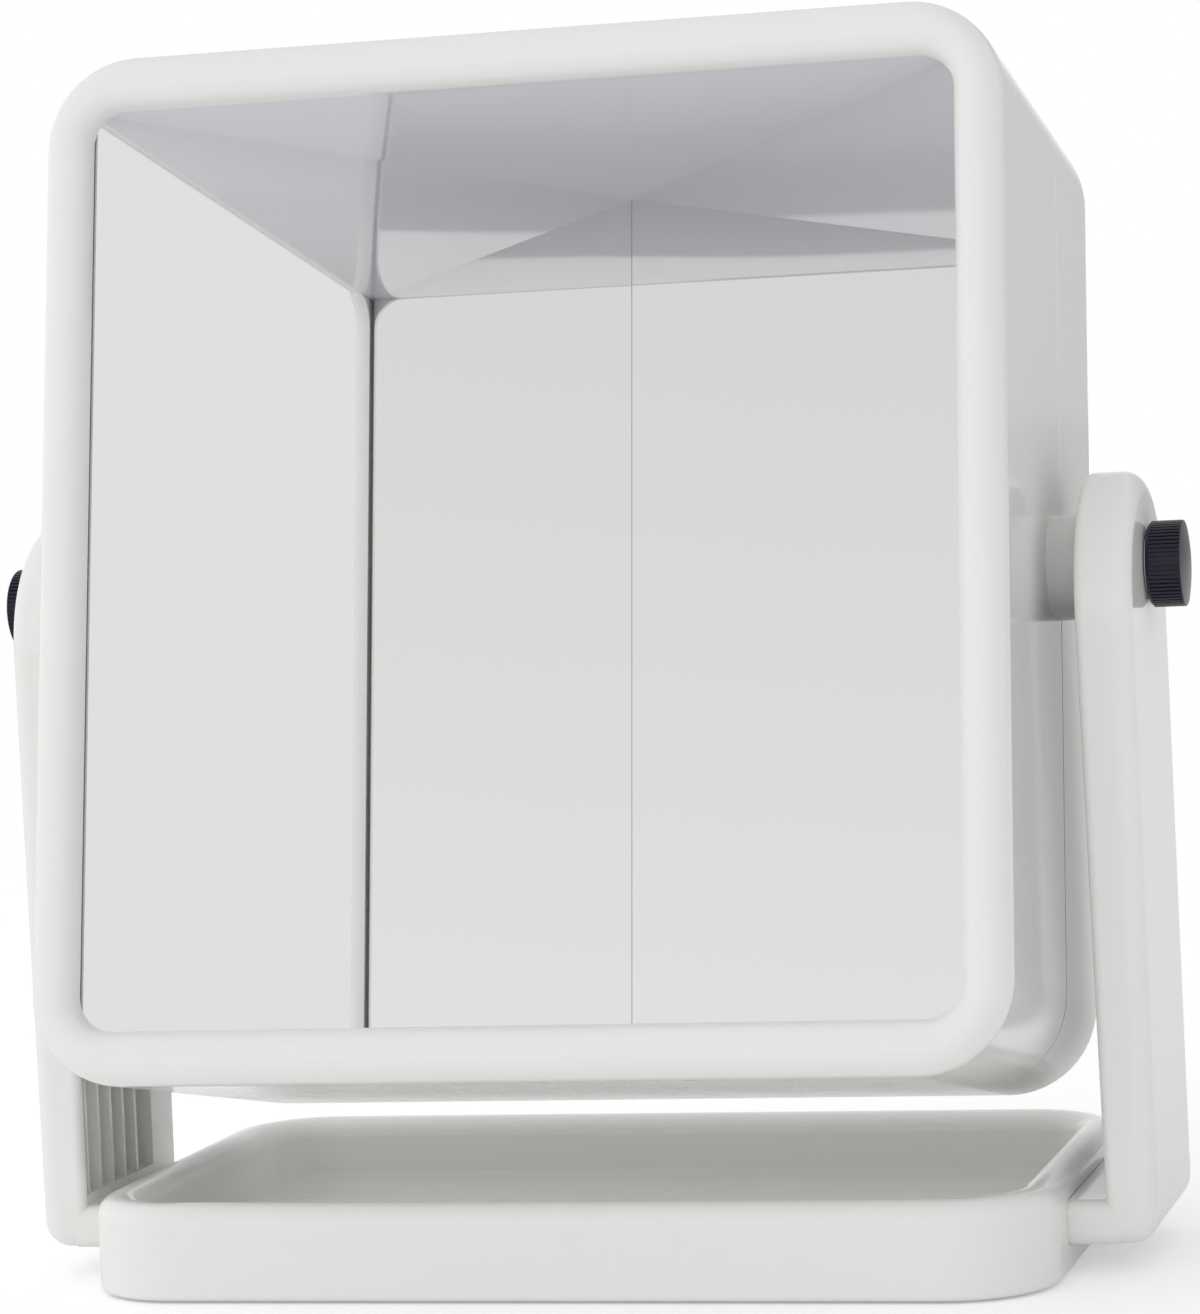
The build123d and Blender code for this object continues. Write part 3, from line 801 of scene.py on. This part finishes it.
@dataclass
class Housing:
    """The tilting housing: frame, cover, panels and the screws that hold them.

    Attributes:
        frame: The housing's directions.
        cover_screw: Screw of the rear cover.
        panel_screw: Screw of the inner panels.
        holder_screw: Screw of the mirror holder.
        cover_at: Across, depth and height of a cover screw's seat.
        panel_at: Across, depth and height of an outer panel screw's seat.
        holder_at: Across, depth and height of a holder screw's seat.
        body: The body that the sub-assembly rides on.
        white: The white nodes.
        panels: The inner panels' nodes.
    """

    frame: HousingFrame
    cover_screw: CrossScrew = CrossScrew(1.5 * MM, 2.8 * MM, 1.8 * MM, 15.0 * MM, 1.1 * MM)
    panel_screw: CrossScrew = CrossScrew(1.2 * MM, 2.3 * MM, 1.6 * MM, 4.9 * MM, 0.9 * MM)
    holder_screw: CrossScrew = CrossScrew(1.2 * MM, 2.3 * MM, 1.6 * MM, 7.0 * MM, 0.9 * MM)
    cover_at: tuple[float, float, float] = (84.4 * MM, 14.1 * MM, 87.4 * MM)
    panel_at: tuple[float, float, float] = (60.0 * MM, -53.5 * MM, 104.2 * MM)
    holder_at: tuple[float, float, float] = (58.17 * MM, -6.28 * MM, 101.6 * MM)
    body: str = "housing"
    white: tuple[str, ...] = ("front_housing", "rear_cover")
    panels: tuple[str, ...] = ("top_panel", "bottom_panel")

    def build(self, nodes: dict[str, bpy.types.Object]) -> None:
        """Dress the housing's nodes and model its screws.

        Args:
            nodes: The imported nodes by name.
        """
        for name in self.white:
            dress(nodes[name], Finishes.WHITE)
        for name in self.panels:
            dress(nodes[name], Finishes.CEILING)
        dress(nodes["mirror_holder"], Finishes.HOLDER)
        self.screws()

    def screws(self) -> None:
        """Model the three sets of screws: cover and panels from behind, holder up and down."""
        for word, screw, seat, columns, upright in (
            ("cover", self.cover_screw, self.cover_at, (-1, 1), False),
            ("panel", self.panel_screw, self.panel_at, (-1, 0, 1), False),
            ("holder", self.holder_screw, self.holder_at, (-1, 1), True),
        ):
            across, depth, height = seat
            places = [
                axis_frame(
                    self.frame.point(x * across, depth, z * height),
                    z * self.frame.up if upright else self.frame.back,
                )
                for x in columns
                for z in (-1, 1)
            ]
            piece = set_in_place(screw.model(), places, f"{word}_screw_set")
            fit(piece, Finishes.STEEL, self.body, f"{word}_screws")


@dataclass
class MirrorPair:
    """The two flat mirrors at a right angle, their outer edges ground, with the tape behind them.

    Attributes:
        body: The body that the sub-assembly rides on.
        arris: Width of the ground edge.
        outer_from: Distance from the middle beyond which an edge is an outer one.
        merge: Distance under which the node's loose corners are one.
        flat: Angle under which the node's triangles are one face.
        level: How far behind the reflecting face an edge may lie and still be its own.
    """

    body: str = "housing"
    arris: float = 0.3 * MM
    outer_from: float = 90.0 * MM
    merge: float = 0.001 * MM
    flat: float = math.radians(0.2)
    level: float = 0.01 * MM

    def build(self, nodes: dict[str, bpy.types.Object]) -> None:
        """Model the mirrors from their nodes and dress them and their tape.

        Args:
            nodes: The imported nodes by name.
        """
        forward = -Vector(HOUSING_BACK)
        for side in Side:
            mirror = f"{side.word}_mirror"
            facing = (forward - side.value * Vector(ACROSS)).normalized()
            glass = SilveredGlass(f"{side.word}_silvered_glass", facing)
            piece = self.ground_glass(nodes[mirror], f"{mirror}_glass", facing)
            fit(piece, glass, self.body, mirror)
            dress(nodes[f"{mirror}_tape"], Finishes.FOAM)

    def ground_glass(
        self, node: bpy.types.Object, name: str, facing: Vector
    ) -> bpy.types.Object:
        """Grind the outer front edge of a copy of a mirror.

        Args:
            node: The mirror's node.
            name: The piece's name.
            facing: Where its reflecting face looks.

        Returns:
            The ground mirror.
        """
        piece = bpy.data.objects.new(name, node.data.copy())
        piece.data.name = name
        bpy.context.scene.collection.objects.link(piece)
        select_only(piece)
        bpy.ops.object.mode_set(mode="EDIT")
        bpy.ops.mesh.select_all(action="SELECT")
        bpy.ops.mesh.remove_doubles(threshold=self.merge)
        bpy.ops.mesh.dissolve_limited(angle_limit=self.flat)
        bpy.ops.mesh.select_all(action="DESELECT")
        bpy.ops.mesh.select_mode(type="EDGE")
        shape = bmesh.from_edit_mesh(piece.data)
        front = max(vert.co.dot(facing) for vert in shape.verts)
        for edge in shape.edges:
            ends = [vert.co for vert in edge.verts]
            level = all(front - end.dot(facing) < self.level for end in ends)
            outer = all(abs(end.x) > self.outer_from for end in ends)
            edge.select_set(level and outer)
        bmesh.update_edit_mesh(piece.data)
        bpy.ops.mesh.bevel(offset=self.arris, segments=1, affect="EDGES")
        bpy.ops.mesh.select_all(action="SELECT")
        bpy.ops.mesh.normals_make_consistent(inside=False)
        bpy.ops.object.mode_set(mode="OBJECT")
        bpy.ops.object.shade_flat()
        return piece


@dataclass
class Pivots:
    """Thumb-screws, washers and inserts on the pivot axis.

    Attributes:
        pivot: Middle of the pivot axis.
        knob_from: Where the knob starts on the axis.
        knob_to: Where its ribbed side ends.
        knob_radius: Radius over the ribs.
        chamfer: Chamfer at the arm's end of the ribs.
        edge: Broken edge at their outer end.
        dome: Rise of the end face.
        dome_rings: Radii of its rings, as shares of its own.
        bore: Radius and depth of the bore.
        ribs: Number of ribs.
        rib_sides: Sides of a ring for each rib, one of them pressed in as its groove.
        rib_depth: Depth of the grooves between them.
        ribbed_from: Share of the knob's radius beyond which its surface is ribbed.
        ribbed_lean: How far a ribbed surface may look along the axis.
        stud_from: Where the stud starts on the axis.
        stud_to: Where it ends, inside the knob.
        stud_radius: Radius over the thread.
        stud_sides: Number of sides of the stud's rings.
        stud_chamfer: Length of the taper at both ends.
        stud_tip: Radius at its tip, as a share of the thread's groove.
        stud_end: Radius at its end in the knob, as a share of its own.
        thread_root: Radius in the thread's groove.
        thread_pitch: Distance from ridge to ridge.
    """

    pivot: Vector
    knob_from: float = 125.7 * MM
    knob_to: float = 133.2 * MM
    knob_radius: float = 9.25 * MM
    chamfer: float = 0.8 * MM
    edge: float = 0.2 * MM
    dome: float = 0.9 * MM
    dome_rings: tuple[float, ...] = (0.9, 0.75, 0.5, 0.25, 0.05)
    bore: Span = (2.55 * MM, 5.4 * MM)
    ribs: int = 60
    rib_sides: int = 3
    rib_depth: float = 0.28 * MM
    ribbed_from: float = 0.9
    ribbed_lean: float = 0.1
    stud_from: float = 100.2 * MM
    stud_to: float = 131.1 * MM
    stud_radius: float = 2.5 * MM
    stud_sides: int = 32
    stud_chamfer: float = 0.4 * MM
    stud_tip: float = 0.8
    stud_end: float = 0.86
    thread_root: float = 2.08 * MM
    thread_pitch: float = 0.8 * MM

    def build(self, nodes: dict[str, bpy.types.Object]) -> None:
        """Model knobs and studs, and dress the pivot pieces of both sides.

        Args:
            nodes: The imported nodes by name.
        """
        for side in Side:
            word = side.word
            body = f"{word}_thumb_screw"
            place = [axis_frame(self.pivot, side.value * Vector(ACROSS))]
            knob = set_in_place(self.knob(), place, f"{word}_ribbed_knob")
            fit(knob, Finishes.KNOB, body, f"{word}_knob")
            stud = set_in_place(self.stud(), place, f"{word}_threaded_stud")
            fit(stud, Finishes.STEEL, body, f"{word}_stud")
            dress(nodes[f"{word}_knob_washer"], Finishes.STEEL)
            dress(nodes[f"{word}_pivot_washer"], Finishes.WASHER)
            dress(nodes[f"{word}_insert"], Finishes.BRASS)

    def knob(self) -> bpy.types.Object:
        """Model one knob from its bore outwards, then press the grooves between its ribs.

        Returns:
            The knob on the Z axis.
        """
        bore_radius, bore_depth = self.bore
        rim = self.knob_radius - self.edge
        sides = self.rib_sides * self.ribs
        turning = Turning("knob", bore_radius, self.knob_from + bore_depth, sides)
        turning.draw(
            (bore_radius, self.knob_from),
            (self.knob_radius - self.chamfer, self.knob_from),
            (self.knob_radius, self.knob_from + self.chamfer),
            (self.knob_radius, self.knob_to - self.edge),
            (rim, self.knob_to),
        )
        curve = (rim**2 + self.dome**2) / (2.0 * self.dome)
        for share in self.dome_rings:
            radius = share * rim
            rise = self.dome - curve + math.sqrt(curve**2 - radius**2)
            turning.draw((radius, self.knob_to + rise))
        select_faces(turning.piece, self.in_groove)
        bpy.ops.mesh.extrude_region_move()
        narrow(1.0 - self.rib_depth / self.knob_radius)
        return turning.finish()

    def in_groove(self, middle: Vector, normal: Vector) -> bool:
        """Tell the faces that the grooves are pressed from: one for each rib, round the side.

        Args:
            middle: A face's middle.
            normal: Its normal.

        Returns:
            Whether it is one of them.
        """
        turn = math.tau / self.ribs
        ribbed = math.hypot(middle.x, middle.y) > self.ribbed_from * self.knob_radius
        upright = abs(normal.z) < self.ribbed_lean
        groove = math.atan2(middle.y, middle.x) % turn < turn / self.rib_sides
        return upright and ribbed and groove

    def stud(self) -> bpy.types.Object:
        """Model one stud, threaded up to the knob.

        Returns:
            The stud on the Z axis.
        """
        tip = self.stud_tip * self.thread_root
        turning = Turning("stud", tip, self.stud_from, self.stud_sides)
        turning.draw((self.thread_root, self.stud_from + self.stud_chamfer))
        turning.thread(self.stud_radius, self.thread_root, self.thread_pitch, self.knob_from)
        turning.draw(
            (self.stud_radius, self.stud_to - self.stud_chamfer),
            (self.stud_end * self.stud_radius, self.stud_to),
        )
        return turning.finish()


@dataclass
class Stand:
    """The tray with its two arms, screws and feet.

    Attributes:
        pivot: Middle of the pivot axis.
        body: The body that the sub-assembly rides on.
        white: The white nodes.
        foot_screw: Screw that holds an arm's foot.
        foot_screw_at: Across, and fore and aft from the pivot, of a foot screw.
        foot_screw_seat: Height of its seat.
        foot_sides: Number of sides of a rubber foot's rings.
        foot_dish: Radius and height of the dished middle under a rubber foot.
        foot_profile: Radius and height of each ring from there on.
    """

    pivot: Vector
    body: str = "stand"
    white: tuple[str, ...] = ("tray", "left_arm", "right_arm")
    foot_screw: CrossScrew = CrossScrew(1.5 * MM, 2.8 * MM, 1.8 * MM, 9.9 * MM, 1.1 * MM)
    foot_screw_at: Span = (103.1 * MM, 18.0 * MM)
    foot_screw_seat: float = 3.6 * MM
    foot_sides: int = 48
    foot_dish: Span = (3.4 * MM, 0.4 * MM)
    foot_profile: tuple[Span, ...] = (
        (3.9 * MM, 0.3 * MM),
        (4.3 * MM, 0.05 * MM),
        (4.6 * MM, 0.0),
        (5.2 * MM, 0.0),
        (5.7 * MM, 0.14 * MM),
        (5.95 * MM, 0.5 * MM),
        (6.0 * MM, 0.9 * MM),
        (6.0 * MM, 1.8 * MM),
    )

    def build(self, nodes: dict[str, bpy.types.Object]) -> None:
        """Dress the stand's nodes and model its screws and feet.

        Args:
            nodes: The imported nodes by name.
        """
        for name in self.white:
            dress(nodes[name], Finishes.WHITE)
        self.foot_screws()
        self.feet()

    def foot_screws(self) -> None:
        """Model the four screws that hold the arms' feet from below."""
        across, aside = self.foot_screw_at
        down = Vector((0.0, 0.0, -1.0))
        places = [
            axis_frame(
                Vector((x * across, self.pivot.y + y * aside, self.foot_screw_seat)), down
            )
            for x in (-1, 1)
            for y in (-1, 1)
        ]
        screws = set_in_place(self.foot_screw.model(), places, "foot_screw_set")
        fit(screws, Finishes.STEEL, self.body, "foot_screws")

    def feet(self) -> None:
        """Model the four rubber feet, each dished in the middle, at their node's corners."""
        low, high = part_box("tray_feet")
        reach = self.foot_profile[-1][0]
        foot = Turning("rubber_foot", *self.foot_dish, self.foot_sides)
        foot.draw(*self.foot_profile)
        places = [
            Matrix.Translation((x, y, 0.0))
            for x in (low.x + reach, high.x - reach)
            for y in (low.y + reach, high.y - reach)
        ]
        feet = set_in_place(foot.finish(), places, "rubber_feet")
        fit(feet, Finishes.RUBBER, self.body, "tray_feet")


@dataclass
class Viewpoint:
    """The photograph's camera, placed from the pivot of the housing.

    Attributes:
        offset: From the pivot axis' middle to the lens, in metres.
        yaw: Turn to the left of straight ahead, in degrees.
        dip: Downward pitch in degrees.
        roll: Clockwise roll of the picture in degrees.
        focal_pixels: Focal length in the photograph's pixels.
        centre_x: The lens axis' column in the photograph.
        sensor: Size of the sensor's longer side in millimetres.
        clip: Nearest and furthest distance that the camera sees.
    """

    offset: Direction = (0.25713, -0.92606, 0.03122)
    yaw: float = 14.0324
    dip: float = 2.8527
    roll: float = 2.8063
    focal_pixels: float = 4351.6
    centre_x: float = 700.8
    sensor: float = 36.0
    clip: Span = (0.05, 50.0)

    def build(self, pivot: Vector) -> bpy.types.Object:
        """Make the camera.

        Args:
            pivot: Middle of the pivot axis.

        Returns:
            The camera object.
        """
        yaw, dip, roll = (math.radians(turn) for turn in (self.yaw, self.dip, self.roll))
        forward = Vector(
            (-math.sin(yaw) * math.cos(dip), math.cos(yaw) * math.cos(dip), -math.sin(dip))
        )
        level = Vector((math.cos(yaw), math.sin(yaw), 0.0))
        upright = level.cross(forward)
        right = level * math.cos(roll) - upright * math.sin(roll)
        up = level * math.sin(roll) + upright * math.cos(roll)
        data = bpy.data.cameras.new("photo_camera")
        data.sensor_width = self.sensor
        data.lens = self.focal_pixels / PHOTO_HEIGHT * self.sensor
        data.shift_x = (PHOTO_WIDTH / 2 - self.centre_x) / PHOTO_HEIGHT
        data.clip_start, data.clip_end = self.clip
        camera = bpy.data.objects.new("photo_camera", data)
        place = Matrix((right, up, -forward)).transposed().to_4x4()
        place.translation = pivot + Vector(self.offset)
        camera.matrix_world = place
        bpy.context.scene.collection.objects.link(camera)
        bpy.context.scene.camera = camera
        return camera


@dataclass(frozen=True)
class SoftBox:
    """A soft studio lamp, which glossy surfaces don't show.

    Attributes:
        name: The lamp's name.
        place: Where it hangs.
        size: Its width and height.
        power: Its power in watts.
        target: What it looks at.
    """

    name: str
    place: Direction
    size: Span
    power: float
    target: Direction = (0.0, 0.0, 0.15)

    def build(self) -> bpy.types.Object:
        """Hang the lamp.

        Returns:
            The lamp object.
        """
        data = bpy.data.lights.new(self.name, "AREA")
        data.shape = "RECTANGLE"
        data.size, data.size_y = self.size
        data.energy = self.power
        lamp = bpy.data.objects.new(self.name, data)
        lamp.location = self.place
        ahead = Vector(self.target) - Vector(self.place)
        lamp.rotation_euler = ahead.to_track_quat("-Z", "Y").to_euler()
        lamp.visible_glossy = False
        bpy.context.scene.collection.objects.link(lamp)
        return lamp


@dataclass(frozen=True)
class RoomPart:
    """A part of the room that glossy surfaces see at a level of its own.

    Attributes:
        toward: The direction of the part.
        span: How closely a ray must look that way, from not at all to fully.
        level: The part's level.
    """

    toward: Direction
    span: Span
    level: float

    def join(self, nodes: Wiring, ahead: Socket, room: Socket) -> Socket:
        """Set the part in the room.

        Args:
            nodes: The world's wiring.
            ahead: The ray's direction.
            room: The room's level so far.

        Returns:
            The room's level with the part in it.
        """
        share = nodes.ranged(nodes.along(ahead, self.toward), self.span, (0.0, 1.0), smooth=True)
        return nodes.mixed(Blend.NUMBERS, share, room, self.level)


@dataclass
class Studio:
    """White surroundings, a pale floor and soft lamps.

    Attributes:
        ambient: Level of the surrounding light at the horizon and where it is full.
        ambient_full: Height of a direction from which it is full.
        ambient_zenith: Share of it that is left straight overhead.
        zenith_from: Height of a direction from which it falls to that.
        side_fall: Share of it that is lost from the middle to the right-hand side.
        shown: Level of the surroundings in glossy surfaces at the horizon and higher up.
        shown_low: Height of a direction from which they are at that lower level.
        room_parts: The right-hand side of the room and its back to the right.
        shown_ground: Level of the ground beyond the floor in glossy surfaces.
        horizon: Half the height of the blur between ground and room.
        floor_size: Width of the floor.
        floor_tones: Base tone of the floor near the object, and far from it in glossy surfaces.
        floor_glow: Light that the lit table itself gives.
        floor_white: Further light that lifts the floor to white in the picture.
        room_from: Where the floor starts to darken in front, and where it has darkened.
        lamps: The soft lamps.
    """

    ambient: Span = (0.60, 0.88)
    ambient_full: float = 0.35
    ambient_zenith: float = 0.85
    zenith_from: float = 0.5
    side_fall: float = 0.42
    shown: Span = (1.0, 0.72)
    shown_low: float = 0.5
    room_parts: tuple[RoomPart, ...] = (
        RoomPart((0.9, 0.45, 0.0), (0.3, 0.6), 0.80),
        RoomPart((0.5, 0.86, 0.0), (0.78, 0.92), 0.5),
    )
    shown_ground: float = 0.40
    horizon: float = 0.003
    floor_size: float = 12.0
    floor_tones: Span = (0.85, 0.46)
    floor_glow: float = 0.10
    floor_white: float = 0.2
    room_from: Span = (-0.4, -2.2)
    lamps: tuple[SoftBox, ...] = (
        SoftBox("left_softbox", (-1.11, -0.93, 0.83), (0.9, 0.9), 1.2),
        SoftBox("right_softbox", (1.0, -0.95, 0.25), (0.7, 0.5), 1.0),
    )

    def build(self) -> None:
        """Build the world, the floor and the lamps."""
        self.world()
        self.floor()
        for lamp in self.lamps:
            lamp.build()
            LOG.info("%s hung", lamp.name)

    def world(self) -> None:
        """Soft light for surfaces, a pale room for what is glossy, and white for the background."""
        world = bpy.data.worlds.new("studio_world")
        bpy.context.scene.world = world
        world.use_nodes = True
        nodes = Wiring(world.node_tree)
        ahead = nodes.coordinates("Generated")
        height = nodes.along(ahead, (0.0, 0.0, 1.0))
        camera = nodes.rays("Is Camera Ray")
        light = self.surrounding_light(nodes, ahead, height)
        seen = self.glossy_room(nodes, ahead, height)
        level = nodes.mixed(Blend.NUMBERS, nodes.glossy_rays(), light, seen)
        back = world.node_tree.nodes["Background"]
        nodes.feed(back.inputs["Color"], (1.0, 1.0, 1.0, 1.0))
        nodes.feed(back.inputs["Strength"], nodes.mixed(Blend.NUMBERS, camera, level, 1.0))

    def surrounding_light(self, nodes: Wiring, ahead: Socket, height: Socket) -> Socket:
        """The light that surfaces get from all round.

        Args:
            nodes: The world's wiring.
            ahead: The ray's direction.
            height: The direction's height.

        Returns:
            The light's level.
        """
        dome = nodes.ranged(height, (0.0, self.ambient_full), self.ambient)
        zenith = nodes.ranged(height, (self.zenith_from, 1.0), (1.0, self.ambient_zenith))
        right_loss = nodes.along(ahead, (-self.side_fall, 0.0, 0.0))
        sides = nodes.maths("ADD", right_loss, 1.0)
        return nodes.maths("MULTIPLY", nodes.maths("MULTIPLY", dome, zenith), sides)

    def glossy_room(self, nodes: Wiring, ahead: Socket, height: Socket) -> Socket:
        """The pale room, and the ground beyond the floor, that glossy surfaces show.

        Args:
            nodes: The world's wiring.
            ahead: The ray's direction.
            height: The direction's height.

        Returns:
            The room's level.
        """
        room = nodes.ranged(height, (0.0, self.shown_low), self.shown)
        for part in self.room_parts:
            room = part.join(nodes, ahead, room)
        above = nodes.ranged(height, (-self.horizon, self.horizon), (0.0, 1.0))
        return nodes.mixed(Blend.NUMBERS, above, self.shown_ground, room)

    def floor(self) -> bpy.types.Object:
        """Lay the floor, white to the camera but for the object's soft shadow.

        Returns:
            The floor object.
        """
        bpy.ops.mesh.primitive_plane_add(size=self.floor_size, location=(0.0, 0.0, 0.0))
        floor = bpy.context.active_object
        floor.name = "studio_floor"
        material, nodes, plastic = start_material("studio_floor")
        end = material.node_tree.nodes["Material Output"]
        material.node_tree.nodes.remove(plastic)
        depth = nodes.along(nodes.coordinates("Object"), (0.0, 1.0, 0.0))
        far = nodes.ranged(depth, self.room_from, (0.0, 1.0))
        dim = nodes.maths("MULTIPLY", far, nodes.glossy_rays())
        matt = nodes.add("ShaderNodeBsdfDiffuse", nodes.ranged(dim, (0.0, 1.0), self.floor_tones))
        own = nodes.ranged(dim, (0.0, 1.0), (self.floor_glow, 0.0))
        camera = nodes.rays("Is Camera Ray")
        glow = nodes.add("ShaderNodeEmission")
        strength = nodes.maths("MULTIPLY_ADD", camera, self.floor_white, own)
        nodes.feed(glow.inputs["Strength"], strength)
        lit = nodes.add("ShaderNodeAddShader", matt.outputs[0], glow.outputs[0])
        nodes.feed(end.inputs["Surface"], lit.outputs[0])
        floor.data.materials.append(material)
        return floor


def pivot_middle(joints: list[dict]) -> Vector:
    """The middle of the housing's pivot axis.

    Args:
        joints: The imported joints.

    Returns:
        The point in metres.
    """
    tilt = next(joint for joint in joints if joint["name"] == "housing_tilt")
    return Vector(tilt["pos_m"])


def main() -> None:
    """Load the frame, dress it, and set the studio and the camera."""
    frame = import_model()
    nodes = frame["nodes"]
    bpy.ops.object.select_all(action="DESELECT")
    pivot = pivot_middle(frame["joints"])
    for assembly in (Housing(HousingFrame(pivot)), MirrorPair(), Pivots(pivot), Stand(pivot)):
        assembly.build(nodes)
        LOG.info("%s built", type(assembly).__name__)
    Studio().build()
    Viewpoint().build(pivot)
    bpy.context.scene.view_settings.view_transform = "Standard"


if __name__ == "__main__":
    logging.basicConfig(level=logging.INFO)
    main()
